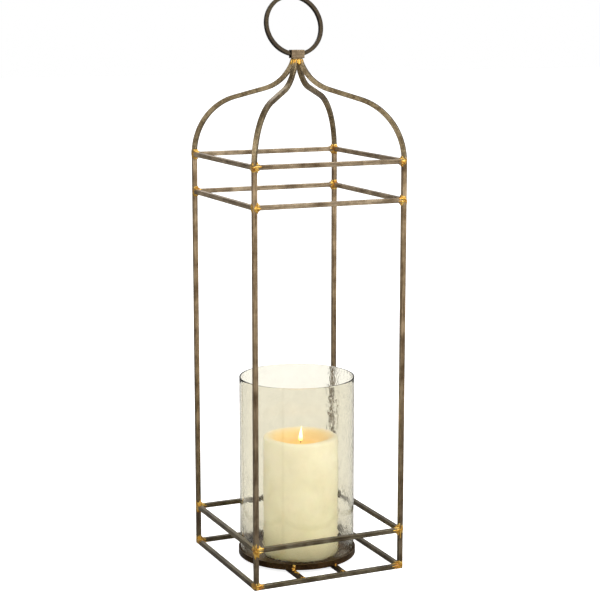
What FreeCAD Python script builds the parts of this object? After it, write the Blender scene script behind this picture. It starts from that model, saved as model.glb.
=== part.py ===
import FreeCAD, Part
import math
import os

# Candle lantern: a cage of square steel bar with an ogee crown, brazed with brass, that holds
# a pan, a glass cylinder and a pillar candle. A ring handle hangs in a short tube at the top.
# Millimetres. Origin at the middle of the square foot, on the table; +X right, +Y back, +Z up.

Vector = FreeCAD.Vector

# Bars and cage
bar = 6.0                # side of the square bar
bar_edge = 0.5           # radius along the bar's edges
post_pitch = 208.0       # post centre to post centre, both ways
band_gap = 50.0          # rail centre to rail centre within the top pair and the bottom pair
crown_rail_z = 544.5     # centre height of the uppermost rails

# Ogee ribs, each in the vertical plane through two opposite posts
belly_radius = 80.5      # outward curve above the post, at the bar's centre line
belly_angle = 74.6       # how far that curve turns, in degrees
shoulder_run = 43.4      # level distance of the straight between the two curves
neck_radius = 58.9       # inward curve below the collar

# Collar and ring handle
collar_under_z = 673.5   # underside of the collar
collar_wall = 1.2
collar_bore_y = 7.0      # clear depth inside, front to back
collar_bore_z = 8.4      # clear height inside
collar_length = 18.0
collar_edge = 0.8
ring_bar = 5.2           # side of the ring's square bar
ring_radius = 38.5       # to the bar's centre line
ring_lean = 15.0         # how far the ring stands back from upright, in degrees
ring_drop = 0.5          # the ring's lowest centre line lies this far under the collar's axis

# Pan and the two bars under it, which are not evenly placed
pan_bar_left_x = -36.5
pan_bar_right_x = 23.0
pan_inner_radius = 78.2
pan_wall = 1.4
pan_height = 8.2
pan_sheet = 1.0
pan_edge = 0.4           # rounding of the pan's lower outer edge

# Glass cylinder
glass_radius = 77.5      # outside
glass_wall = 2.0
glass_top_z = 251.6
glass_rim = 0.9          # radius of the fire-polished rim

# Candle, which stands a little off the pan's centre
candle_x = 4.5
candle_y = -2.0
candle_radius = 50.8
candle_top_z = 170.0
candle_edge = 2.5        # rounding of the outer rim
dish_radius = 44.0
dish_depth = 11.0
wick_radius = 1.2
wick_stands = 6.0        # above the bottom of the dish

# Brass at the joints
braze_skin = 0.6         # thickness over the bars
braze_reach = 5.0        # along each bar from the joint
fillet_leg = 3.5
cross_leg = 3.0
apex_radius = 9.0
apex_low_radius = 6.5
apex_depth = 8.0
pan_lug = 5.0
pan_lug_height = 3.0
table_gap = 0.3          # brass at table level stays this far above it

# Worked out from the above
half_bar = bar / 2
half_pitch = post_pitch / 2
rail_length = post_pitch - bar
bottom_rail_z = half_bar
guard_rail_z = bottom_rail_z + band_gap
neck_rail_z = crown_rail_z - band_gap
post_top_z = crown_rail_z + half_bar
collar_depth = collar_bore_y + 2 * collar_wall
collar_height = collar_bore_z + 2 * collar_wall
collar_z = collar_under_z + collar_height / 2
pan_under_z = bar
pan_floor_z = pan_under_z + pan_sheet
pan_outer_radius = pan_inner_radius + pan_wall
dish_floor_z = candle_top_z - dish_depth

corners = {
    "front_left": (-1, -1),
    "front_right": (1, -1),
    "back_left": (-1, 1),
    "back_right": (1, 1),
}
bands = {
    "bottom": bottom_rail_z,
    "guard": guard_rail_z,
    "neck": neck_rail_z,
    "crown": crown_rail_z,
}


def box_between(low, high):
    size = high - low
    return Part.makeBox(size.x, size.y, size.z, low)


def long_edges(shape, direction):
    """Straight edges of a shape that run along a direction."""
    found = []
    for edge in shape.Edges:
        along = edge.Vertexes[-1].Point - edge.Vertexes[0].Point
        if along.Length > 1e-6 and abs(along.normalize().dot(direction)) > 0.999:
            found.append(edge)
    return found


def straight_bar(start, end, eased=True):
    """Square bar between two points on one axis, centred on the line, with its edges eased or sharp."""
    direction = (end - start).normalize()
    half = Vector(1, 1, 1) - Vector(abs(direction.x), abs(direction.y), abs(direction.z))
    low = Vector(min(start.x, end.x), min(start.y, end.y), min(start.z, end.z)) - half * half_bar
    high = Vector(max(start.x, end.x), max(start.y, end.y), max(start.z, end.z)) + half * half_bar
    box = box_between(low, high)
    return box.makeFillet(bar_edge, long_edges(box, direction)) if eased else box


def post(corner):
    side_x, side_y = corners[corner]
    foot = Vector(side_x * half_pitch, side_y * half_pitch, 0)
    return straight_bar(foot, foot + Vector(0, 0, post_top_z))


def rails(height):
    """The four rails of one band, each butted between two posts."""
    reach = rail_length / 2
    return {
        "front": straight_bar(Vector(-reach, -half_pitch, height), Vector(reach, -half_pitch, height)),
        "back": straight_bar(Vector(-reach, half_pitch, height), Vector(reach, half_pitch, height)),
        "left": straight_bar(Vector(-half_pitch, -reach, height), Vector(-half_pitch, reach, height)),
        "right": straight_bar(Vector(half_pitch, -reach, height), Vector(half_pitch, reach, height)),
    }


def rib_outline(offset):
    """Edges of the ogee from post to collar, in the XZ plane, shifted outwards from the centre line."""
    post_reach = half_pitch * math.sqrt(2)
    angle = math.radians(belly_angle)
    slope = math.pi / 2 - angle
    belly = belly_radius + offset
    neck = neck_radius - offset
    belly_x = post_reach - belly_radius
    belly_z = crown_rail_z

    def on_belly(turn):
        return Vector(belly_x + belly * math.cos(turn), 0, belly_z + belly * math.sin(turn))

    foot_turn = math.asin((post_top_z - belly_z) / belly)
    belly_end = on_belly(angle)
    shoulder = Vector(-shoulder_run, 0, shoulder_run * math.tan(slope))
    neck_start = belly_end + shoulder
    neck_centre = neck_start + Vector(neck * math.sin(slope), 0, neck * math.cos(slope))

    def on_neck(turn):
        return neck_centre + Vector(-neck * math.sin(turn), 0, -neck * math.cos(turn))

    top_turn = math.acos((neck_centre.z - collar_under_z) / neck)
    return [
        Part.Arc(on_belly(foot_turn), on_belly((foot_turn + angle) / 2), belly_end).toShape(),
        Part.LineSegment(belly_end, neck_start).toShape(),
        Part.Arc(neck_start, on_neck((slope + top_turn) / 2), on_neck(top_turn)).toShape(),
    ]


def rib(corner):
    """Bar bent flat-on in its diagonal plane, cut level at both ends and mitred against its neighbours."""
    outer = rib_outline(half_bar)
    inner = rib_outline(-half_bar)
    foot = Part.LineSegment(outer[0].Vertexes[0].Point, inner[0].Vertexes[0].Point).toShape()
    top = Part.LineSegment(outer[-1].Vertexes[-1].Point, inner[-1].Vertexes[-1].Point).toShape()
    wire = Part.Wire(Part.__sortEdges__(outer + inner + [foot, top]))
    solid = Part.Face(wire).extrude(Vector(0, bar, 0))
    solid.translate(Vector(0, -half_bar, 0))
    flat_edges = [
        edge for edge in solid.Edges
        if abs(abs(edge.CenterOfMass.y) - half_bar) < 1e-6 and edge.Length > 2 * bar
    ]
    solid = solid.makeFillet(bar_edge, flat_edges)
    side_x, side_y = corners[corner]
    solid.rotate(Vector(0, 0, 0), Vector(0, 0, 1), math.degrees(math.atan2(side_y, side_x)))
    quarter = Part.makeBox(
        post_pitch, post_pitch, collar_under_z,
        Vector(min(0, side_x * post_pitch), min(0, side_y * post_pitch), 0),
    )
    return solid.common(quarter).Solids[0]


def collar():
    """Short rectangular tube across the crown, along X."""
    outer = Part.makeBox(
        collar_length, collar_depth, collar_height,
        Vector(-collar_length / 2, -collar_depth / 2, collar_under_z),
    )
    outer = outer.makeFillet(collar_edge, long_edges(outer, Vector(1, 0, 0)))
    bore = Part.makeBox(
        collar_length, collar_bore_y, collar_bore_z,
        Vector(-collar_length / 2, -collar_bore_y / 2, collar_z - collar_bore_z / 2),
    )
    return outer.cut(bore)


def ring_handle():
    """Ring of square bar through the collar, leaning back from upright about the collar's axis."""
    half = ring_bar / 2
    centre = Vector(0, half, collar_z + ring_radius - ring_drop)
    outer = Part.makeCylinder(ring_radius + half, ring_bar, centre, Vector(0, -1, 0))
    inner = Part.makeCylinder(ring_radius - half, ring_bar, centre, Vector(0, -1, 0))
    ring = outer.cut(inner)
    ring = ring.makeFillet(bar_edge, [edge for edge in ring.Edges if edge.Length > 4 * ring_radius])
    ring.rotate(Vector(0, 0, collar_z), Vector(1, 0, 0), -ring_lean)
    return ring


def pan_bar(x):
    reach = rail_length / 2
    return straight_bar(Vector(x, -reach, bottom_rail_z), Vector(x, reach, bottom_rail_z))


def candle_pan():
    """Shallow round dish that holds the glass and the candle."""
    dish = Part.makeCylinder(pan_outer_radius, pan_height, Vector(0, 0, pan_under_z))
    under = [edge for edge in dish.Edges if abs(edge.CenterOfMass.z - pan_under_z) < 1e-6]
    dish = dish.makeFillet(pan_edge, under)
    return dish.cut(Part.makeCylinder(pan_inner_radius, pan_height, Vector(0, 0, pan_floor_z)))


def glass_cylinder():
    """Tube open at both ends, with a rounded rim at each end."""
    height = glass_top_z - pan_floor_z
    foot = Vector(0, 0, pan_floor_z)
    tube = Part.makeCylinder(glass_radius, height, foot).cut(
        Part.makeCylinder(glass_radius - glass_wall, height, foot)
    )
    rims = [edge for edge in tube.Edges if abs(edge.CenterOfMass.z - glass_top_z) < 1e-6]
    return tube.makeFillet(glass_rim, rims)


def candle_wick():
    foot = Vector(candle_x, candle_y, pan_floor_z)
    return Part.makeCylinder(wick_radius, dish_floor_z + wick_stands - pan_floor_z, foot)


def candle_wax():
    """Pillar with a melted dish in its top, bored for the wick."""
    body = Part.makeCylinder(candle_radius, candle_top_z - pan_floor_z, Vector(0, 0, pan_floor_z))
    rim = [edge for edge in body.Edges if abs(edge.CenterOfMass.z - candle_top_z) < 1e-6]
    body = body.makeFillet(candle_edge, rim)
    ball_radius = (dish_radius ** 2 + dish_depth ** 2) / (2 * dish_depth)
    body = body.cut(Part.makeSphere(ball_radius, Vector(0, 0, dish_floor_z + ball_radius)))
    body.translate(Vector(candle_x, candle_y, 0))
    return body.cut(candle_wick())


def wedge(corner_point, leg_one, leg_two, width):
    """Triangular fillet: two legs from a corner line, and the width across it, centred."""
    across = leg_one.cross(leg_two).normalize() * width
    start = corner_point - across * 0.5
    triangle = Part.makePolygon([start, start + leg_one, start + leg_two, start])
    return Part.Face(triangle).extrude(across)


def corner_braze(corner, height):
    """Brass skin over one post and its two rails where they meet, with fillets in the inner corners."""
    side_x, side_y = corners[corner]
    centre = Vector(side_x * half_pitch, side_y * half_pitch, height)
    half = half_bar + braze_skin
    reach = half_bar + braze_reach
    block = box_between(centre - Vector(half, half, reach), centre + Vector(half, half, reach))
    for inward in (Vector(-side_x, 0, 0), Vector(0, -side_y, 0)):
        end = centre + inward * reach
        cross = Vector(half * (inward.x == 0), half * (inward.y == 0), half)
        low = Vector(min(centre.x, end.x), min(centre.y, end.y), height) - cross
        high = Vector(max(centre.x, end.x), max(centre.y, end.y), height) + cross
        block = block.fuse(box_between(low, high))
        for face in (1, -1):
            start = centre + inward * half + Vector(0, 0, face * half)
            block = block.fuse(wedge(start, inward * fillet_leg, Vector(0, 0, face * fillet_leg), bar))
    return block


def band_braze(height, top=None):
    """The four corners of one band, hollowed for the bars that run through them."""
    made = []
    corner_low = Vector(-post_pitch, -post_pitch, table_gap)
    allowed = box_between(corner_low, Vector(post_pitch, post_pitch, top or collar_under_z))
    for corner, (side_x, side_y) in corners.items():
        centre = Vector(side_x * half_pitch, side_y * half_pitch, height)
        upright = Vector(0, 0, bar + braze_reach)
        steel = straight_bar(centre - upright, centre + upright, eased=False)
        for inward in (Vector(-side_x, 0, 0), Vector(0, -side_y, 0)):
            steel = steel.fuse(straight_bar(centre, centre + inward * half_pitch, eased=False))
        brass = corner_braze(corner, height).common(allowed).cut(steel.removeSplitter())
        made.extend(brass.removeSplitter().Solids)
    return Part.makeCompound(made)


def apex_braze(ribs):
    """Brass gathered round the tops of the four ribs, under the collar."""
    foot = Vector(0, 0, collar_under_z - apex_depth)
    brass = Part.makeCone(apex_low_radius, apex_radius, apex_depth, foot)
    slab = box_between(Vector(-collar_length / 2, -collar_depth / 2, foot.z),
                       Vector(collar_length / 2, collar_depth / 2, collar_under_z))
    brass = brass.common(slab)
    for shape in ribs:
        brass = brass.cut(shape)
    return Part.makeCompound(brass.Solids)


def pan_bar_braze():
    """Upright fillets between the pan bars' sides and the bottom rails."""
    made = []
    for x in (pan_bar_left_x, pan_bar_right_x):
        for end in (-1, 1):
            for side in (-1, 1):
                start = Vector(x + side * half_bar, end * rail_length / 2, bottom_rail_z)
                legs = (Vector(side * cross_leg, 0, 0), Vector(0, -end * cross_leg, 0))
                made.append(wedge(start, *legs, bar - 2 * table_gap))
    return Part.makeCompound(made)


def pan_braze():
    """Lugs on the pan bars against the outside of the pan."""
    made = []
    drum = Part.makeCylinder(pan_outer_radius, pan_height, Vector(0, 0, pan_under_z))
    for x in (pan_bar_left_x, pan_bar_right_x):
        reach = math.sqrt(pan_outer_radius ** 2 - x ** 2)
        for end in (-1, 1):
            low = Vector(x - pan_lug / 2, end * reach - pan_lug, pan_under_z)
            lug = Part.makeBox(pan_lug, 2 * pan_lug, pan_lug_height, low)
            made.extend(max(lug.cut(drum).Solids, key=lambda piece: piece.Volume).Solids)
    return Part.makeCompound(made)


def build():
    posts = {f"post_{corner}": post(corner) for corner in corners}
    ribs = {f"rib_{corner}": rib(corner) for corner in corners}
    nodes = {**posts, **ribs}
    for band, height in bands.items():
        nodes.update({f"{band}_rail_{side}": shape for side, shape in rails(height).items()})
        nodes[f"braze_{band}_corners"] = band_braze(height, post_top_z if band == "crown" else None)
    nodes["collar"] = collar()
    nodes["ring_handle"] = ring_handle()
    nodes["pan_bar_left"] = pan_bar(pan_bar_left_x)
    nodes["pan_bar_right"] = pan_bar(pan_bar_right_x)
    nodes["candle_pan"] = candle_pan()
    nodes["glass_cylinder"] = glass_cylinder()
    nodes["candle_wax"] = candle_wax()
    nodes["candle_wick"] = candle_wick()
    nodes["braze_apex"] = apex_braze(ribs.values())
    nodes["braze_pan_bars"] = pan_bar_braze()
    nodes["braze_pan"] = pan_braze()
    return nodes


os.makedirs("parts", exist_ok=True)
for name, shape in build().items():
    shape.exportStep(f"parts/{name}.step")
    print(f"{name}: {len(shape.Solids)} solid(s), {shape.Volume:.1f} mm3, valid {shape.isValid()}")
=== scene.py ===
# Candle lantern: brazed steel cage, ring handle, rippled glass cylinder and a lit pillar candle.
import bpy
import math
import random
import numpy as np
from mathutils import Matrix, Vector, noise


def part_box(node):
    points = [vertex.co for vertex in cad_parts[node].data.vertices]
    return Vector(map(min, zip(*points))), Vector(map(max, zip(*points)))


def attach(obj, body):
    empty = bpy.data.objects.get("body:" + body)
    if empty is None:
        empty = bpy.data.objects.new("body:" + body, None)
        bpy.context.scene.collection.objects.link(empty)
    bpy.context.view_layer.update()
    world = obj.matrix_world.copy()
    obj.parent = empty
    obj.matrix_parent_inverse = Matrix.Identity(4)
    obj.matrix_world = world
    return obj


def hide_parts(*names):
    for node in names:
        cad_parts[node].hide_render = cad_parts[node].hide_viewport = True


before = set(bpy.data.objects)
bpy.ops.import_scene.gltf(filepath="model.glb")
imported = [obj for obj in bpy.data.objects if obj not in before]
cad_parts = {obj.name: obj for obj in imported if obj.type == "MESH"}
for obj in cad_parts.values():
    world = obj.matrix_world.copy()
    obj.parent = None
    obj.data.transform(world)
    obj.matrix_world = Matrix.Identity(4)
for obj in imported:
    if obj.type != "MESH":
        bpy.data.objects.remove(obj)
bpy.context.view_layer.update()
print("frame loaded:", len(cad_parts), "nodes")

mm = 0.001


# Small helpers for node trees and meshes

def addNode(tree, kind, **settings):
    node = tree.nodes.new(kind)
    for name, value in settings.items():
        setattr(node, name, value)
    return node


def setInputs(node, values):
    for name, value in values.items():
        node.inputs[name].default_value = value
    return node


def newMaterial(name):
    material = bpy.data.materials.new(name)
    material.use_nodes = True
    tree = material.node_tree
    return material, tree, tree.nodes["Principled BSDF"]


def addRamp(tree, source, stops):
    ramp = addNode(tree, "ShaderNodeValToRGB")
    elements = ramp.color_ramp.elements
    while len(elements) < len(stops):
        elements.new(0.5)
    for element, (place, colour) in zip(elements, stops):
        element.position = place
        element.color = (*colour, 1.0)
    tree.links.new(source, ramp.inputs["Fac"])
    return ramp.outputs["Color"]


def meshPiece(name, points, faces, material, smooth=True):
    mesh = bpy.data.meshes.new(name)
    mesh.from_pydata([tuple(point) for point in points], [], faces)
    mesh.materials.append(material)
    mesh.update()
    if smooth:
        mesh.shade_smooth()
    piece = bpy.data.objects.new(name, mesh)
    bpy.context.scene.collection.objects.link(piece)
    return piece


# Shader groups shared by several materials

def mottleGroup():
    # patchy colour mask and a matching fine surface
    group = bpy.data.node_groups.new("mottledSurface", "ShaderNodeTree")
    sockets = group.interface
    for name, kind, start in (
        ("Stretch", "NodeSocketVector", (1.0, 1.0, 1.0)),
        ("Patch Scale", "NodeSocketFloat", 60.0),
        ("Grain Scale", "NodeSocketFloat", 900.0),
        ("Grain Height", "NodeSocketFloat", 0.3),
    ):
        sockets.new_socket(name, in_out="INPUT", socket_type=kind).default_value = start
    sockets.new_socket("Patches", in_out="OUTPUT", socket_type="NodeSocketFloat")
    sockets.new_socket("Grain", in_out="OUTPUT", socket_type="NodeSocketFloat")
    sockets.new_socket("Normal", in_out="OUTPUT", socket_type="NodeSocketVector")
    link = group.links.new
    inside = addNode(group, "NodeGroupInput")
    outside = addNode(group, "NodeGroupOutput")
    coords = addNode(group, "ShaderNodeTexCoord")
    stretch = addNode(group, "ShaderNodeVectorMath", operation="MULTIPLY")
    link(coords.outputs["Object"], stretch.inputs[0])
    link(inside.outputs["Stretch"], stretch.inputs[1])
    patches = setInputs(addNode(group, "ShaderNodeTexNoise"), {"Detail": 5.0, "Roughness": 0.62})
    grain = setInputs(addNode(group, "ShaderNodeTexNoise"), {"Detail": 3.0, "Roughness": 0.55})
    link(coords.outputs["Object"], patches.inputs["Vector"])
    link(stretch.outputs["Vector"], grain.inputs["Vector"])
    link(inside.outputs["Patch Scale"], patches.inputs["Scale"])
    link(inside.outputs["Grain Scale"], grain.inputs["Scale"])
    bump = setInputs(addNode(group, "ShaderNodeBump"), {"Distance": 0.0003})
    link(grain.outputs["Fac"], bump.inputs["Height"])
    link(inside.outputs["Grain Height"], bump.inputs["Strength"])
    link(patches.outputs["Fac"], outside.inputs["Patches"])
    link(grain.outputs["Fac"], outside.inputs["Grain"])
    link(bump.outputs["Normal"], outside.inputs["Normal"])
    return group


mottle = mottleGroup()


def placeMottle(tree, settings):
    node = addNode(tree, "ShaderNodeGroup", node_tree=mottle)
    return setInputs(node, settings)


steelLook = {
    "dark": (0.095, 0.058, 0.028),
    "mid": (0.225, 0.157, 0.090),
    "light": (0.350, 0.255, 0.155),
    "metallic": 0.80,
    "specular": 0.45,
    "patchScale": 40.0,
    "grainScale": 620.0,
    "grainHeight": 0.40,
    # painted shade for the inside of the collar
    "insideShade": (0.012, 0.009, 0.006),
}

# which way the drawing streaks run
streakWays = {
    "upright": (1.0, 1.0, 0.05), "across": (0.05, 1.0, 1.0),
    "deep": (1.0, 0.05, 1.0), "bent": (0.6, 0.6, 0.6),
}

# how pale or dark each kind of piece is made: partly its own colour, partly painted light and shade that
# make up for how the lamps and the mirrored studio fall on it
steelToneAndShade = {
    "post": ("upright", (1.55, 1.56, 1.56)),
    "rib": ("bent", (1.00, 1.06, 1.00)),
    "ring_handle": ("bent", (0.090, 0.088, 0.070)),
    "collar": ("across", (0.92, 0.94, 0.96)),
    "candle_pan": ("bent", (0.26, 0.19, 0.10)),
    "pan_bar": ("deep", (0.30, 0.28, 0.24)),
    "bottom_rail": ("along", (0.54, 0.63, 0.68)),
    "guard_rail": ("along", (0.56, 0.65, 0.70)),
    "neck_rail": ("along", (1.45, 1.55, 1.70)),
    "crown_rail": ("along", (1.45, 1.55, 1.70)),
}


def paintShadeInside(tree, colour, middle, halfY, halfZ):
    # painted shade: a dark colour inside a hollow that runs along X, where the collar's opening lies in
    # shadow
    link = tree.links.new
    coords = addNode(tree, "ShaderNodeTexCoord")
    offset = addNode(tree, "ShaderNodeVectorMath", operation="SUBTRACT")
    offset.inputs[1].default_value = middle
    size = addNode(tree, "ShaderNodeVectorMath", operation="ABSOLUTE")
    split = addNode(tree, "ShaderNodeSeparateXYZ")
    link(coords.outputs["Object"], offset.inputs[0])
    link(offset.outputs["Vector"], size.inputs[0])
    link(size.outputs["Vector"], split.inputs["Vector"])
    inside = addNode(tree, "ShaderNodeMath", operation="MULTIPLY")
    for index, axis, limit in ((0, "Y", halfY), (1, "Z", halfZ)):
        within = addNode(tree, "ShaderNodeMath", operation="LESS_THAN")
        within.inputs[1].default_value = limit
        link(split.outputs[axis], within.inputs[0])
        link(within.outputs[0], inside.inputs[index])
    mix = addNode(tree, "ShaderNodeMix", data_type="RGBA")
    mix.inputs["B"].default_value = (*steelLook["insideShade"], 1.0)
    link(inside.outputs[0], mix.inputs["Factor"])
    link(colour, mix.inputs["A"])
    return mix.outputs["Result"]


def darkenLow(tree, colour):
    # the posts are darker towards the table
    link = tree.links.new
    coords = addNode(tree, "ShaderNodeTexCoord")
    split = addNode(tree, "ShaderNodeSeparateXYZ")
    level = setInputs(addNode(tree, "ShaderNodeMapRange"), {"From Min": 0.0, "From Max": 0.40})
    link(coords.outputs["Object"], split.inputs["Vector"])
    link(split.outputs["Z"], level.inputs["Value"])
    shade = addRamp(tree, level.outputs["Result"], [
        (0.05, (0.36, 0.38, 0.40)), (0.60, (0.62, 0.62, 0.62)), (1.0, (1.0, 1.0, 1.0)),
    ])
    mix = addNode(tree, "ShaderNodeMix", data_type="RGBA", blend_type="MULTIPLY")
    mix.inputs["Factor"].default_value = 1.0
    link(colour, mix.inputs["A"])
    link(shade, mix.inputs["B"])
    return mix.outputs["Result"]


def makeSteel(name, stretch, tone, shadedInside=False, lowDark=False):
    # darkened bar: brown patches under fine drawing streaks that run along the bar
    material, tree, shader = newMaterial(name)
    link = tree.links.new
    surface = placeMottle(tree, {
        "Stretch": stretch,
        "Patch Scale": steelLook["patchScale"],
        "Grain Scale": steelLook["grainScale"],
        "Grain Height": steelLook["grainHeight"],
    })
    both = setInputs(addNode(tree, "ShaderNodeMath", operation="MULTIPLY_ADD"), {1: 0.7})
    link(surface.outputs["Grain"], both.inputs[0])
    link(surface.outputs["Patches"], both.inputs[2])
    # painted light and shade: the piece's multiplier makes the same steel paler or darker
    shades = [tuple(np.multiply(steelLook[key], tone)) for key in ("dark", "mid", "light")]
    colour = addRamp(tree, both.outputs[0], [(0.60, shades[0]), (0.84, shades[1]), (1.10, shades[2])])
    rough = addRamp(tree, surface.outputs["Patches"], [(0.3, (0.28,) * 3), (0.7, (0.44,) * 3)])
    # painted shade inside the collar, round the ring handle
    if shadedInside:
        low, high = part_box("collar")
        colour = paintShadeInside(tree, colour, (low + high) / 2, 3.7 * mm, 4.4 * mm)
    if lowDark:
        colour = darkenLow(tree, colour)
    link(colour, shader.inputs["Base Color"])
    link(rough, shader.inputs["Roughness"])
    link(surface.outputs["Normal"], shader.inputs["Normal"])
    setInputs(shader, {"Metallic": steelLook["metallic"], "Specular IOR Level": steelLook["specular"]})
    return material


steelMade = {}
for nodeName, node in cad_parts.items():
    for part, (way, tone) in steelToneAndShade.items():
        if not nodeName.startswith(part):
            continue
        if way == "along":
            way = "across" if nodeName.endswith(("front", "back")) else "deep"
        steelName = f"steel {part} {way}"
        if steelName not in steelMade:
            steelMade[steelName] = makeSteel(
                steelName, streakWays[way], tone, shadedInside=part == "collar", lowDark=part == "post",
            )
        node.data.materials.clear()
        node.data.materials.append(steelMade[steelName])
print("steel finished")


brassLook = {
    "red": (0.34, 0.125, 0.030),
    "gold": (0.70, 0.390, 0.060),
    "pale": (0.88, 0.630, 0.200),
    "patchScale": 210.0,
    "grainScale": 900.0,
}


def makeBrass():
    material, tree, shader = newMaterial("meltedBrass")
    link = tree.links.new
    surface = placeMottle(tree, {
        "Stretch": (1.0, 1.0, 1.0),
        "Patch Scale": brassLook["patchScale"],
        "Grain Scale": brassLook["grainScale"],
        "Grain Height": 0.5,
    })
    stops = [(0.36, brassLook["red"]), (0.50, brassLook["gold"]), (0.66, brassLook["pale"])]
    link(addRamp(tree, surface.outputs["Patches"], stops), shader.inputs["Base Color"])
    rough = addRamp(tree, surface.outputs["Grain"], [(0.3, (0.22,) * 3), (0.7, (0.45,) * 3)])
    link(rough, shader.inputs["Roughness"])
    link(surface.outputs["Normal"], shader.inputs["Normal"])
    setInputs(shader, {"Metallic": 0.85})
    return material


meltedBrass = makeBrass()

# Brass at the joints: lumps of melt gathered into one skin for each band

brassMelt = {
    "seed": 41,
    "voxel": 0.42,        # mm
    "lump": (1.25, 1.85),  # mm, smallest and largest radius
    "rail": (1.5, 6.0),   # mm past the joint along a rail
    "upright": (0.6, 3.2),
    "lowExtra": 5.0,      # mm further on the two bottom bands
    "bareChance": 0.10,
    "barerOutside": 0.20,
    "barerOutsideLow": 0.06,
    "proud": 0.80,        # mm, the most that brass stands off a bar's face
    "unevenness": 0.7,    # mm
    "cover": 0.35,        # mm, the least that it stands off
    "step": 0.7,          # mm between lumps
    "taper": 0.2,
    "filletLump": (1.0, 1.5),
    "filletGap": 0.4,     # mm
    "filletPitch": 0.75,  # mm
}


def meltTree():
    # lumps (points with a "lump" radius) become one continuous uneven skin
    tree = bpy.data.node_groups.new("meltSkin", "GeometryNodeTree")
    sockets = tree.interface
    sockets.new_socket("Geometry", in_out="INPUT", socket_type="NodeSocketGeometry")
    for name, kind, start in (
        ("Voxel", "NodeSocketFloat", 0.4),
        ("Unevenness", "NodeSocketFloat", 0.3),
        ("Noise Seed", "NodeSocketFloat", 0.0),
        ("Finish", "NodeSocketMaterial", None),
    ):
        socket = sockets.new_socket(name, in_out="INPUT", socket_type=kind)
        if start is not None:
            socket.default_value = start
    sockets.new_socket("Geometry", in_out="OUTPUT", socket_type="NodeSocketGeometry")
    link = tree.links.new
    inside = addNode(tree, "NodeGroupInput")
    outside = addNode(tree, "NodeGroupOutput")
    size = addNode(tree, "GeometryNodeInputNamedAttribute", data_type="FLOAT")
    size.inputs["Name"].default_value = "lump"
    points = addNode(tree, "GeometryNodeMeshToPoints")
    volume = addNode(tree, "GeometryNodePointsToVolume", resolution_mode="VOXEL_SIZE")
    skin = addNode(tree, "GeometryNodeVolumeToMesh", resolution_mode="GRID")
    skin.inputs["Threshold"].default_value = 0.35
    link(inside.outputs["Geometry"], points.inputs["Mesh"])
    link(size.outputs["Attribute"], points.inputs["Radius"])
    link(points.outputs["Points"], volume.inputs["Points"])
    link(size.outputs["Attribute"], volume.inputs["Radius"])
    link(inside.outputs["Voxel"], volume.inputs["Voxel Size"])
    link(volume.outputs["Volume"], skin.inputs["Volume"])
    wobble = addNode(tree, "ShaderNodeTexNoise", noise_dimensions="4D")
    setInputs(wobble, {"Scale": 0.45, "Detail": 3.0})
    place = addNode(tree, "GeometryNodeInputPosition")
    normal = addNode(tree, "GeometryNodeInputNormal")
    link(place.outputs["Position"], wobble.inputs["Vector"])
    link(inside.outputs["Noise Seed"], wobble.inputs["W"])
    centred = addNode(tree, "ShaderNodeMath", operation="SUBTRACT")
    centred.inputs[1].default_value = 0.5
    link(wobble.outputs["Fac"], centred.inputs[0])
    amount = addNode(tree, "ShaderNodeMath", operation="MULTIPLY")
    link(centred.outputs[0], amount.inputs[0])
    link(inside.outputs["Unevenness"], amount.inputs[1])
    push = addNode(tree, "ShaderNodeVectorMath", operation="SCALE")
    link(normal.outputs["Normal"], push.inputs[0])
    link(amount.outputs[0], push.inputs["Scale"])
    move = addNode(tree, "GeometryNodeSetPosition")
    link(skin.outputs["Mesh"], move.inputs["Geometry"])
    link(push.outputs["Vector"], move.inputs["Offset"])
    smooth = addNode(tree, "GeometryNodeSetShadeSmooth")
    real = addNode(tree, "GeometryNodeRealizeInstances")
    finish = addNode(tree, "GeometryNodeSetMaterial")
    link(move.outputs["Geometry"], smooth.inputs["Geometry"])
    link(smooth.outputs["Geometry"], real.inputs["Geometry"])
    link(real.outputs["Geometry"], finish.inputs["Geometry"])
    link(inside.outputs["Finish"], finish.inputs["Material"])
    link(finish.outputs["Geometry"], outside.inputs["Geometry"])
    return tree


meltSkin = meltTree()


def socketId(tree, name):
    for item in tree.interface.items_tree:
        if item.name == name and item.in_out == "INPUT":
            return item.identifier


def meltPiece(name, lumps, seedOffset, limit):
    # lumps are (place in mm, radius in mm); the skin is made in mm, held inside limit, and scaled
    mesh = bpy.data.meshes.new(name)
    mesh.from_pydata([tuple(place) for place, size in lumps], [], [])
    sizes = mesh.attributes.new("lump", "FLOAT", "POINT")
    sizes.data.foreach_set("value", [size for place, size in lumps])
    source = bpy.data.objects.new(name, mesh)
    bpy.context.scene.collection.objects.link(source)
    modifier = source.modifiers.new("melt", "NODES")
    modifier.node_group = meltSkin
    modifier[socketId(meltSkin, "Voxel")] = brassMelt["voxel"]
    modifier[socketId(meltSkin, "Unevenness")] = brassMelt["unevenness"]
    modifier[socketId(meltSkin, "Noise Seed")] = float(seedOffset)
    modifier[socketId(meltSkin, "Finish")] = meltedBrass
    graph = bpy.context.evaluated_depsgraph_get()
    skin = bpy.data.meshes.new_from_object(source.evaluated_get(graph))
    bpy.data.objects.remove(source)
    flat = np.empty(len(skin.vertices) * 3)
    skin.vertices.foreach_get("co", flat)
    places = flat.reshape(-1, 3)
    low, high = limit
    places = np.clip(places, low, high) * mm
    skin.vertices.foreach_set("co", places.ravel())
    skin.update()
    skin.name = name
    piece = bpy.data.objects.new(name, skin)
    bpy.context.scene.collection.objects.link(piece)
    print(" ", name, len(skin.polygons), "faces")
    return piece


def inMm(vector):
    return Vector(vector) / mm


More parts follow.
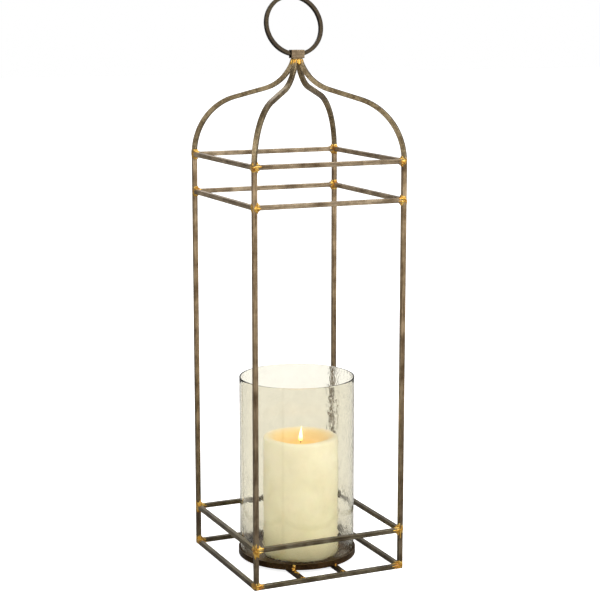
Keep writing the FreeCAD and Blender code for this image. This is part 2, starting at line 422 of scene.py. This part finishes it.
postLow, postHigh = (inMm(corner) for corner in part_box("post_front_left"))
halfBar = (postHigh.x - postLow.x) / 2
postReach = -(postLow.x + postHigh.x) / 2
bandHeights = {}
for band in ("bottom", "guard", "neck", "crown"):
    railLow, railHigh = (inMm(corner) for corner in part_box(f"{band}_rail_front"))
    bandHeights[band] = (railLow.z + railHigh.z) / 2

meltReach = postReach + halfBar + brassMelt["proud"]
meltLimit = (np.array([-meltReach, -meltReach, 0.25]), np.array([meltReach, meltReach, 1000.0]))
draw = random.Random(brassMelt["seed"])


def legLumps(start, along, outward, extra):
    # melt that ran along one bar, over some of its faces and edges and not others
    lumps = []
    axis = max(range(3), key=lambda index: abs(along[index]))
    others = [index for index in range(3) if index != axis]
    shortest, longest = brassMelt["upright"] if axis == 2 else brassMelt["rail"]
    for sideOne in (-1, -0.4, 0.4, 1):
        for sideTwo in (-1, -0.4, 0.4, 1):
            if abs(sideOne) < 1 and abs(sideTwo) < 1:
                continue
            size = draw.uniform(*brassMelt["lump"])
            reach = draw.uniform(shortest, longest) + draw.uniform(0, extra)
            outside = max(0, sideOne * outward[others[0]]) + max(0, sideTwo * outward[others[1]])
            barer = brassMelt["barerOutsideLow"] if extra else brassMelt["barerOutside"]
            if draw.random() < brassMelt["bareChance"] + barer * outside:
                continue
            offset = Vector((0, 0, 0))
            depth = halfBar - size + draw.uniform(brassMelt["cover"], brassMelt["proud"])
            offset[others[0]] = sideOne * depth
            offset[others[1]] = sideTwo * depth
            travel = 0.0
            while travel < halfBar + reach:
                part = travel / (halfBar + reach)
                thinner = 1.0 - brassMelt["taper"] * part * part
                lumps.append((start + along * travel + offset, size * thinner))
                travel += brassMelt["step"]
    return lumps


def filletLumps(start, one, two):
    lumps = []
    face = halfBar + brassMelt["filletGap"]
    for step in range(4):
        for across in (-1.6, 0.0, 1.6):
            spread = one.cross(two) * across
            out = face + step * brassMelt["filletPitch"]
            for first, second in ((one, two), (two, one)):
                size = draw.uniform(*brassMelt["filletLump"])
                lumps.append((start + first * out + second * face + spread, size))
    return lumps


cornerSides = [(-1, -1), (1, -1), (-1, 1), (1, 1)]
up = Vector((0, 0, 1))
for seedOffset, (band, height) in enumerate(bandHeights.items()):
    lumps = []
    for sideX, sideY in cornerSides:
        centre = Vector((sideX * postReach, sideY * postReach, height))
        inwards = [Vector((-sideX, 0, 0)), Vector((0, -sideY, 0))]
        uprights = [up, -up]
        if band == "bottom":
            uprights = [up]
        extra = brassMelt["lowExtra"] if band in ("bottom", "guard") else 0.0
        for along in inwards + uprights:
            lumps += legLumps(centre, along, Vector((sideX, sideY, 0)), extra)
        for inward in inwards:
            for upright in uprights:
                lumps += filletLumps(centre, inward, upright)
    piece = meltPiece(f"brass_{band}_corners", lumps, seedOffset, meltLimit)
    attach(piece, "cage")
    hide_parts(f"braze_{band}_corners")

# under the collar, round the tops of the ribs
apexLow, apexHigh = (inMm(corner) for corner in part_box("braze_apex"))
apexMelt = {"reach": 5.2, "spread": 0.42, "size": (1.3, 2.0), "deep": (4.0, 8.5), "limit": 10.5}
lumps = []
for sideX, sideY in cornerSides:
    outward = Vector((sideX, sideY, 0)).normalized()
    across = Vector((-outward.y, outward.x, 0))
    for lane in (-3.0, -1.5, 0.0, 1.5, 3.0):  # melt that ran down the outside and sides of one rib
        drop = 0.6
        deepest = draw.uniform(*apexMelt["deep"])
        while drop < deepest:
            reach = apexMelt["reach"] + apexMelt["spread"] * drop + (1.2 if abs(lane) < 2 else -0.6)
            size = draw.uniform(*apexMelt["size"]) * (1 - 0.35 * drop / deepest)
            lumps.append((outward * reach + across * lane + up * (apexHigh.z - size - drop), size))
            drop += 0.8
for index in range(8):  # bridged the gaps between neighbouring ribs
    angle = index * math.pi / 4
    for drop in (0.8, 2.0, 3.2, 4.4, 5.4):
        reach = 6.2 + 0.28 * drop
        place = Vector((math.cos(angle), math.sin(angle), 0)) * reach
        lumps.append((place + up * (apexHigh.z - 1.4 - drop), draw.uniform(1.4, 2.1)))
for index in range(26):  # and filled the well between them
    angle = draw.uniform(0, 2 * math.pi)
    reach = draw.uniform(1.0, 6.0)
    size = draw.uniform(*apexMelt["size"])
    place = Vector((math.cos(angle), math.sin(angle), 0)) * reach
    lumps.append((place + up * (apexHigh.z - size - draw.uniform(0, 2.5)), size))
reach = apexMelt["limit"]
apexTop = (np.array([-reach, -reach, apexLow.z - 4]), np.array([reach, reach, apexHigh.z]))
piece = meltPiece("brass_apex", lumps, 11, apexTop)
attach(piece, "cage")
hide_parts("braze_apex")

# where the pan bars meet the bottom rails, and where the pan meets its bars
panLow, panHigh = (inMm(corner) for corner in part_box("candle_pan"))
panRadius = (panHigh.x - panLow.x) / 2
panMelt = {
    "barLump": (0.7, 1.1), "barLevels": (1.4, 3.0, 4.6), "barPitch": 0.8,
    "topLump": (0.8, 1.2), "panLump": (1.1, 1.7),
    "runLump": (0.9, 1.6), "runPitch": 0.7, "runSway": 1.3,
}
barLumps = []
panLumps = []
for node in ("pan_bar_left", "pan_bar_right"):
    barLow, barHigh = (inMm(corner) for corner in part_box(node))
    barX = (barLow.x + barHigh.x) / 2
    barTop = barHigh.z
    for end in (-1, 1):
        railFace = end * (postReach - halfBar)
        for side in (-1, 1):
            for step in range(5):
                away = step * panMelt["barPitch"]
                for level in panMelt["barLevels"]:
                    place = Vector((barX + side * (halfBar + 0.2), railFace - end * away, level))
                    barLumps.append((place, draw.uniform(*panMelt["barLump"]) * (1 - 0.1 * step)))
        for step in range(8):
            across = draw.uniform(-halfBar, halfBar)
            place = Vector((barX + across, railFace - end * draw.uniform(0, 4), barTop - 0.4))
            barLumps.append((place, draw.uniform(*panMelt["topLump"])))
        rim = math.sqrt(panRadius ** 2 - barX ** 2)
        heavy = end < 0 and node == "pan_bar_left"
        for step in range(12 if heavy else 3):
            sideways = draw.uniform(-2.2, 2.2) if heavy else draw.uniform(-1.2, 1.2)
            outward = end * (rim + draw.uniform(0.0, 1.0))
            place = Vector((barX + sideways, outward, barTop + min(step, 8) * 0.8))
            panLumps.append((place, draw.uniform(*panMelt["panLump"])))
        if heavy:
            for step in range(18):  # the run of melt along the bar towards the front rail
                sway = panMelt["runSway"] * math.sin(step * 0.45)
                outward = end * (rim + 1.0 + step * panMelt["runPitch"])
                place = Vector((barX + sway, outward, barTop + 0.2))
                panLumps.append((place, draw.uniform(*panMelt["runLump"])))
for name, lumps, node, seedOffset in (
    ("brass_pan_bars", barLumps, "braze_pan_bars", 21),
    ("brass_pan", panLumps, "braze_pan", 22),
):
    piece = meltPiece(name, lumps, seedOffset, meltLimit)
    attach(piece, "cage")
    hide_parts(node)
print("brass finished")


# Revolved pieces: a closed or open strip of rings around an upright axis

def revolve(name, rings, around, material, closed=False, capStart=False, capEnd=False):
    # rings is a list of functions angle -> Vector
    points = []
    for ring in rings:
        points += [ring(2 * math.pi * step / around) for step in range(around)]
    faces = []
    pairs = list(zip(range(len(rings) - 1), range(1, len(rings))))
    if closed:
        pairs.append((len(rings) - 1, 0))
    for lower, upper in pairs:
        for step in range(around):
            after = (step + 1) % around
            faces.append((lower * around + step, lower * around + after,
                          upper * around + after, upper * around + step))
    for wanted, index, turn in ((capStart, 0, -1), (capEnd, len(rings) - 1, 1)):
        if wanted:
            middle = len(points)
            loop = [points[index * around + step] for step in range(around)]
            points.append(sum(loop, Vector()) / around)
            for step in range(around):
                after = (step + 1) % around
                corner = (index * around + step, index * around + after, middle)
                faces.append(corner[::turn])
    return meshPiece(name, points, faces, material)


glassShape = {
    "around": 340,
    "rows": 150,
    "wall": 2.0,
    "edge": 0.9,
    "ripple": 0.50,        # mm, height of the ripples where the glass is most uneven
    "rippleCalm": 0.05,    # and where it is calmest
    "rippleSize": 4.6,     # mm
    "streak": 0.05,        # mm, upright drawing lines
    "fine": 0.95,          # strength of the finest ripples
    "fineCalm": 0.03,
    "unevenReach": (0.010, 0.075),  # m from the axis, where they start and where they are full
    "unevenFoot": (0.09, -0.03),    # m above the table, the same
    "unevenSide": 38.0,    # degrees, where round the wall the most uneven glass is
    "seedPlace": Vector((3.1, 7.7, 1.9)),
}


def makeGlassFinish():
    material, tree, shader = newMaterial("warmGlass")
    link = tree.links.new
    surface = placeMottle(tree, {
        "Stretch": (1.0, 1.0, 0.6),
        "Patch Scale": 90.0,
        "Grain Scale": 300.0,
    })
    # more uneven on one side and low down
    coords = addNode(tree, "ShaderNodeTexCoord")
    side = addNode(tree, "ShaderNodeVectorMath", operation="DOT_PRODUCT")
    turn = math.radians(glassShape["unevenSide"])
    side.inputs[1].default_value = (math.cos(turn), math.sin(turn), 0)
    split = addNode(tree, "ShaderNodeSeparateXYZ")
    link(coords.outputs["Object"], side.inputs[0])
    link(coords.outputs["Object"], split.inputs["Vector"])
    worst = addNode(tree, "ShaderNodeMath", operation="MAXIMUM")
    for index, source, start, end in (
        (0, side.outputs["Value"], *glassShape["unevenReach"]),
        (1, split.outputs["Z"], *glassShape["unevenFoot"]),
    ):
        share = setInputs(addNode(tree, "ShaderNodeMapRange"), {"From Min": start, "From Max": end})
        link(source, share.inputs["Value"])
        link(share.outputs["Result"], worst.inputs[index])
    height = addNode(tree, "ShaderNodeMath", operation="MULTIPLY_ADD")
    setInputs(height, {1: glassShape["fine"], 2: glassShape["fineCalm"]})
    link(worst.outputs[0], height.inputs[0])
    link(height.outputs[0], surface.inputs["Grain Height"])
    tint = addRamp(tree, surface.outputs["Patches"], [
        (0.3, (0.800, 0.775, 0.680)), (0.7, (0.830, 0.805, 0.710)),
    ])
    link(tint, shader.inputs["Base Color"])
    link(surface.outputs["Normal"], shader.inputs["Normal"])
    setInputs(shader, {"Roughness": 0.01, "Transmission Weight": 1.0, "IOR": 1.47})
    clear = setInputs(addNode(tree, "ShaderNodeBsdfTransparent"), {"Color": (0.96, 0.94, 0.89, 1.0)})
    rays = addNode(tree, "ShaderNodeLightPath")
    mix = addNode(tree, "ShaderNodeMixShader")
    link(rays.outputs["Is Shadow Ray"], mix.inputs["Fac"])
    link(shader.outputs["BSDF"], mix.inputs[1])
    link(clear.outputs["BSDF"], mix.inputs[2])
    link(mix.outputs["Shader"], tree.nodes["Material Output"].inputs["Surface"])
    return material


def makeGlass():
    low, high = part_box("glass_cylinder")
    radius = (high.x - low.x) / 2
    height = high.z - low.z
    wall = glassShape["wall"] * mm
    size = glassShape["rippleSize"] * mm

    def outer(level):
        z = low.z + height * level
        calm = glassShape["rippleCalm"]
        most = glassShape["ripple"]

        def at(angle):
            across = Vector((math.cos(angle), math.sin(angle), 0)) * radius
            place = (across + Vector((0, 0, z))) / size + glassShape["seedPlace"]
            turned = 0.5 + 0.5 * math.cos(angle - math.radians(glassShape["unevenSide"]))
            uneven = max(turned ** 1.5, (1 - level) ** 4)
            depth = calm + (most - calm) * uneven
            swell = 0.5 + 0.5 * noise.noise(place) + 0.3 * noise.noise(place * 2.1)
            line = noise.noise(Vector((across.x, across.y, z * 0.04)) / (2.5 * mm))
            inset = max(0.0, depth * swell + glassShape["streak"] * (0.5 + 0.5 * line)) * mm
            return across * (1 - inset / radius) + Vector((0, 0, z))
        return at

    def plain(reach, z):
        return lambda angle: Vector((math.cos(angle) * reach, math.sin(angle) * reach, z))

    rows = glassShape["rows"]
    edge = glassShape["edge"] * mm
    rings = [plain(radius - 0.6 * mm, low.z)]
    rings += [outer(0.004 + 0.990 * step / rows) for step in range(rows + 1)]
    middle = radius - wall / 2
    for turn in range(1, 8):
        bend = math.pi * turn / 8
        rings.append(plain(middle + math.cos(bend) * wall / 2, high.z - edge + math.sin(bend) * edge))
    for step in range(41):
        rings.append(plain(radius - wall, high.z - edge - (height - edge) * step / 40))
    piece = revolve("glass_wall", rings, glassShape["around"], makeGlassFinish(), closed=True)
    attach(piece, "glass")
    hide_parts("glass_cylinder")
    return piece


makeGlass()
print("glass finished")


waxShape = {
    "around": 150,
    "rimDip": 1.6,         # mm, how far the rim wanders down
    "rimRound": 4.0,       # mm, radius of the rim's outer edge
    "dishDepth": 11.0,
    "bowlStart": 0.03,     # share of the way in where the recess begins to fall, and where it ends
    "bowlEnd": 0.46,
    "sideSwell": 0.25,
}
candleLow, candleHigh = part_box("candle_wax")
candleMiddle = Vector(((candleLow.x + candleHigh.x) / 2, (candleLow.y + candleHigh.y) / 2, 0))
candleRadius = (candleHigh.x - candleLow.x) / 2
dishFloor = candleHigh.z - waxShape["dishDepth"] * mm


def makeWax():
    material, tree, shader = newMaterial("ivoryWax")
    link = tree.links.new
    surface = placeMottle(tree, {
        "Stretch": (1.0, 1.0, 1.0),
        "Patch Scale": 22.0,
        "Grain Scale": 260.0,
        "Grain Height": 0.12,
    })
    coords = addNode(tree, "ShaderNodeTexCoord")
    split = addNode(tree, "ShaderNodeSeparateXYZ")
    link(coords.outputs["Object"], split.inputs["Vector"])
    level = addNode(tree, "ShaderNodeMapRange")
    setInputs(level, {"From Min": candleLow.z, "From Max": candleHigh.z})
    link(split.outputs["Z"], level.inputs["Value"])
    tone = addRamp(tree, level.outputs["Result"], [
        (0.0, (0.740, 0.700, 0.460)), (0.25, (0.930, 0.900, 0.690)), (1.0, (0.990, 0.960, 0.820)),
    ])
    cloud = addRamp(tree, surface.outputs["Patches"], [(0.35, (0.90, 0.89, 0.84)), (0.65, (1.0, 1.0, 1.0))])
    blend = addNode(tree, "ShaderNodeMix", data_type="RGBA", blend_type="MULTIPLY")
    blend.inputs["Factor"].default_value = 1.0
    link(tone, blend.inputs["A"])
    link(cloud, blend.inputs["B"])
    rough = addRamp(tree, surface.outputs["Patches"], [(0.3, (0.38,) * 3), (0.7, (0.52,) * 3)])
    link(rough, shader.inputs["Roughness"])
    link(surface.outputs["Normal"], shader.inputs["Normal"])
    # painted light: emission on the wax near the flame stands in for the flame's light glowing through the
    # melted dish
    flamePlace = candleMiddle + Vector((0, 0, dishFloor + 4 * mm))
    away = addNode(tree, "ShaderNodeVectorMath", operation="DISTANCE")
    link(coords.outputs["Object"], away.inputs[0])
    away.inputs[1].default_value = flamePlace
    near = addNode(tree, "ShaderNodeMapRange")
    setInputs(near, {"From Min": 0.0, "From Max": 0.062, "To Min": 1.0, "To Max": 0.0})
    link(away.outputs["Value"], near.inputs["Value"])
    glow = addRamp(tree, near.outputs["Result"], [
        (0.0, (0.0, 0.0, 0.0)), (0.30, (0.05, 0.020, 0.002)),
        (0.75, (0.42, 0.190, 0.020)), (1.0, (0.8, 0.42, 0.05)),
    ])
    link(glow, shader.inputs["Emission Color"])
    # painted light: the wax near the flame is tinted a deeper amber, as if lit warm by the flame
    melt = addRamp(tree, near.outputs["Result"], [
        (0.20, (1.0, 1.0, 1.0)), (0.42, (0.98, 0.80, 0.50)),
        (0.80, (0.95, 0.58, 0.20)), (1.0, (0.95, 0.60, 0.22)),
    ])
    flameLitWax = addNode(tree, "ShaderNodeMix", data_type="RGBA", blend_type="MULTIPLY")
    flameLitWax.inputs["Factor"].default_value = 1.0
    link(blend.outputs["Result"], flameLitWax.inputs["A"])
    # the painted warm light multiplies the wax colour
    link(melt, flameLitWax.inputs["B"])
    link(flameLitWax.outputs["Result"], shader.inputs["Base Color"])
    setInputs(shader, {
        "Subsurface Weight": 0.25,
        "Subsurface Scale": 0.012,
        "Subsurface Radius": (1.0, 0.62, 0.28),
        # strength of the painted glow on the wax
        "Emission Strength": 0.5,
    })
    return material


def makeCandle():
    def ring(reach, z, swell=0.0):
        def at(angle):
            out = Vector((math.cos(angle), math.sin(angle), 0))
            wander = noise.noise(out * 1.6 + Vector((0, 0, z * 18)))
            return candleMiddle + out * (reach - swell * mm * (0.5 + 0.5 * wander)) + Vector((0, 0, z))
        return at

    def rimDrop(angle):
        out = Vector((math.cos(angle), math.sin(angle), 0))
        return waxShape["rimDip"] * mm * (0.5 + 0.5 * noise.noise(out * 1.3 + Vector((4, 2, 9))))

    def worn(reach, z, share):
        def at(angle):
            out = Vector((math.cos(angle), math.sin(angle), 0))
            inward = 1.5 * mm * (0.5 + 0.5 * noise.noise(out * 2.2 + Vector((1, 5, 3)))) * share
            return candleMiddle + out * (reach - inward) + Vector((0, 0, z - share * rimDrop(angle)))
        return at

    radius = candleRadius
    rim = waxShape["rimRound"] * mm
    swell = waxShape["sideSwell"]
    rings = [ring(radius - 1.0 * mm, candleLow.z), ring(radius - 0.2 * mm, candleLow.z + 0.8 * mm)]
    sideTop = candleHigh.z - rim
    for step in range(1, 31):
        rings.append(ring(radius, candleLow.z + (sideTop - candleLow.z) * step / 31, swell))
    for turn in range(0, 6):
        bend = math.pi / 2 * turn / 5
        rings.append(worn(radius - rim + math.cos(bend) * rim, sideTop + math.sin(bend) * rim, turn / 5))
    lip = radius - rim
    depth = waxShape["dishDepth"] * mm
    for step in range(1, 41):
        part = step / 41
        along = (part - waxShape["bowlStart"]) / (waxShape["bowlEnd"] - waxShape["bowlStart"])
        along = min(1.0, max(0.0, along))
        fall = depth * along * along * (3 - 2 * along)
        rings.append(worn(lip * (1 - part) + 0.5 * mm, candleHigh.z - fall, max(0.0, 1 - part * 2)))
    piece = revolve("candle_pillar", rings, waxShape["around"], makeWax(), capStart=True, capEnd=True)
    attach(piece, "candle")
    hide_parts("candle_wax")
    return piece


makeCandle()
print("candle finished")


wickShape = {"strands": 3, "strandRadius": 0.55, "twist": 9.0, "height": 7.5, "lean": 1.2}


def makeCharred():
    material, tree, shader = newMaterial("charredCotton")
    surface = placeMottle(tree, {"Patch Scale": 700.0, "Grain Scale": 2500.0, "Grain Height": 0.8})
    colour = addRamp(tree, surface.outputs["Patches"], [
        (0.35, (0.012, 0.009, 0.007)), (0.7, (0.10, 0.06, 0.035)),
    ])
    tree.links.new(colour, shader.inputs["Base Color"])
    tree.links.new(surface.outputs["Normal"], shader.inputs["Normal"])
    setInputs(shader, {"Roughness": 0.9})
    return material


def makeWick():
    points = []
    faces = []
    sides = 8
    rows = 26
    radius = wickShape["strandRadius"] * mm
    for strand in range(wickShape["strands"]):
        first = len(points)
        for row in range(rows + 1):
            part = row / rows
            z = dishFloor - 1.0 * mm + part * wickShape["height"] * mm
            turn = 2 * math.pi * (strand / wickShape["strands"] + part * wickShape["twist"] / 6)
            lean = wickShape["lean"] * mm * part * part
            middle = candleMiddle + Vector((math.cos(turn) * radius + lean, math.sin(turn) * radius, z))
            size = radius * (1.0 if 0 < row < rows else 0.6)
            for side in range(sides):
                angle = 2 * math.pi * side / sides
                points.append(middle + Vector((math.cos(angle), math.sin(angle), 0)) * size)
        for row in range(rows):
            for side in range(sides):
                after = (side + 1) % sides
                base = first + row * sides
                faces.append((base + side, base + after, base + sides + after, base + sides + side))
        faces.append(tuple(first + side for side in range(sides))[::-1])
        faces.append(tuple(first + rows * sides + side for side in range(sides)))
    piece = meshPiece("wick_braid", points, faces, makeCharred())
    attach(piece, "candle")
    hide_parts("candle_wick")


makeWick()


flameShape = {"low": 2.0, "tall": 21.0, "wide": 5.4, "sway": 1.2, "around": 40, "rows": 36}


def makeFlameFinish():
    material, tree, shader = newMaterial("flameLight")
    coords = addNode(tree, "ShaderNodeTexCoord")
    split = addNode(tree, "ShaderNodeSeparateXYZ")
    level = addNode(tree, "ShaderNodeMapRange")
    low = dishFloor + flameShape["low"] * mm
    setInputs(level, {"From Min": low, "From Max": low + flameShape["tall"] * mm})
    tree.links.new(coords.outputs["Object"], split.inputs["Vector"])
    tree.links.new(split.outputs["Z"], level.inputs["Value"])
    colour = addRamp(tree, level.outputs["Result"], [
        (0.0, (0.85, 0.42, 0.06)), (0.16, (1.0, 0.80, 0.28)),
        (0.45, (1.0, 0.95, 0.72)), (1.0, (1.0, 0.88, 0.50)),
    ])
    tree.links.new(colour, shader.inputs["Emission Color"])
    tree.links.new(colour, shader.inputs["Base Color"])
    setInputs(shader, {"Emission Strength": 2.2, "Roughness": 0.6})
    return material


def makeFlame():
    low = dishFloor + flameShape["low"] * mm

    def ring(part):
        reach = flameShape["wide"] / 2 * mm * math.sin(math.pi * part ** 0.46) ** 0.95
        sway = flameShape["sway"] * mm * part * part

        def at(angle):
            out = Vector((math.cos(angle) * reach + sway, math.sin(angle) * reach, 0))
            return candleMiddle + out + Vector((0, 0, low + flameShape["tall"] * mm * part))
        return at

    rows = flameShape["rows"]
    rings = [ring((step + 0.5) / (rows + 0.6)) for step in range(rows)]
    piece = revolve("flame", rings, flameShape["around"], makeFlameFinish(), capStart=True, capEnd=True)
    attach(piece, "candle")


makeFlame()
print("wick and flame finished")


# Floor, light and camera

studio = {
    "floorSize": 30.0,
    "floorGlow": 0.38,
    "floorSeen": 0.45,    # extra white where the floor is seen straight
    "bright": 1.10,       # the wall in front and to the right, as the steel mirrors it
    "shaded": 0.28,       # the walls behind and to the left
    "brightWay": (0.40, -0.88, 0.25),
    "floorMirrored": (0.30, 0.29, 0.27),
    "key": {"place": (1.3, -2.2, 2.0), "size": 1.6, "power": 36.0},
    "fill": {"place": (-2.0, -1.2, 1.4), "size": 1.6, "power": 17.0},
    "back": {"place": (0.4, 2.4, 2.0), "size": 1.8, "power": 14.0},
}


def makeFloor():
    material, tree, shader = newMaterial("paleFloor")
    surface = placeMottle(tree, {"Patch Scale": 2.0, "Grain Scale": 120.0, "Grain Height": 0.02})
    link = tree.links.new
    pale = addRamp(tree, surface.outputs["Patches"], [(0.3, (0.93, 0.93, 0.93)), (0.7, (0.95, 0.95, 0.95))])
    # bright where it is seen, subdued where metal mirrors it
    rays = addNode(tree, "ShaderNodeLightPath")
    mirrored = addNode(tree, "ShaderNodeMath", operation="SUBTRACT", use_clamp=True)
    link(rays.outputs["Is Glossy Ray"], mirrored.inputs[0])
    link(rays.outputs["Is Transmission Ray"], mirrored.inputs[1])
    base = addNode(tree, "ShaderNodeMix", data_type="RGBA")
    base.inputs["B"].default_value = (*studio["floorMirrored"], 1.0)
    glow = addNode(tree, "ShaderNodeMix", data_type="RGBA")
    glow.inputs["A"].default_value = (1.0, 1.0, 1.0, 1.0)
    glow.inputs["B"].default_value = (0.0, 0.0, 0.0, 1.0)
    link(pale, base.inputs["A"])
    for mix in (base, glow):
        link(mirrored.outputs[0], mix.inputs["Factor"])
    link(base.outputs["Result"], shader.inputs["Base Color"])
    link(glow.outputs["Result"], shader.inputs["Emission Color"])
    white = addNode(tree, "ShaderNodeMath", operation="MULTIPLY_ADD")
    setInputs(white, {1: studio["floorSeen"], 2: studio["floorGlow"]})
    link(rays.outputs["Is Camera Ray"], white.inputs[0])
    link(white.outputs[0], shader.inputs["Emission Strength"])
    setInputs(shader, {"Roughness": 0.9})
    half = studio["floorSize"] / 2
    corners = [(-half, -half, 0), (half, -half, 0), (half, half, 0), (-half, half, 0)]
    meshPiece("floor", corners, [(0, 1, 2, 3)], material, smooth=False)


def makeWorld():
    world = bpy.data.worlds.new("studio")
    bpy.context.scene.world = world
    world.use_nodes = True
    tree = world.node_tree
    shell = tree.nodes["Background"]
    link = tree.links.new
    way = addNode(tree, "ShaderNodeTexCoord")
    toward = addNode(tree, "ShaderNodeVectorMath", operation="DOT_PRODUCT")
    toward.inputs[1].default_value = studio["brightWay"]
    link(way.outputs["Generated"], toward.inputs[0])
    walls = [(0.0, (studio["shaded"],) * 3), (0.65, (studio["bright"],) * 3)]
    wall = addRamp(tree, toward.outputs["Value"], walls)
    rays = addNode(tree, "ShaderNodeLightPath")
    seen = addNode(tree, "ShaderNodeMix", data_type="RGBA")
    seen.inputs["B"].default_value = (1.0, 1.0, 1.0, 1.0)
    link(wall, seen.inputs["A"])
    straight = addNode(tree, "ShaderNodeMath", operation="MAXIMUM")
    link(rays.outputs["Is Camera Ray"], straight.inputs[0])
    link(rays.outputs["Is Transmission Ray"], straight.inputs[1])
    link(straight.outputs[0], seen.inputs["Factor"])
    link(seen.outputs["Result"], shell.inputs["Color"])


def makeLight(name, settings):
    data = bpy.data.lights.new(name, "AREA")
    data.size = settings["size"]
    data.energy = settings["power"]
    light = bpy.data.objects.new(name, data)
    light.location = settings["place"]
    aim = Vector((0, 0, 0.35)) - light.location
    light.rotation_euler = aim.to_track_quat("-Z", "Y").to_euler()
    bpy.context.scene.collection.objects.link(light)


makeFloor()
makeWorld()
for lightName in ("key", "fill", "back"):
    makeLight(lightName, studio[lightName])

cameraSetup = {"place": (-0.8747, -1.9493, 0.7384), "turn": 24.28, "tilt": 10.18, "lens": 97.8}
cameraData = bpy.data.cameras.new("camera")
cameraData.lens = cameraSetup["lens"]
camera = bpy.data.objects.new("camera", cameraData)
camera.location = cameraSetup["place"]
camera.rotation_euler = (math.radians(90 - cameraSetup["tilt"]), 0, math.radians(-cameraSetup["turn"]))
bpy.context.scene.collection.objects.link(camera)
bpy.context.scene.camera = camera
bpy.context.scene.view_settings.view_transform = "Standard"
print("studio finished")
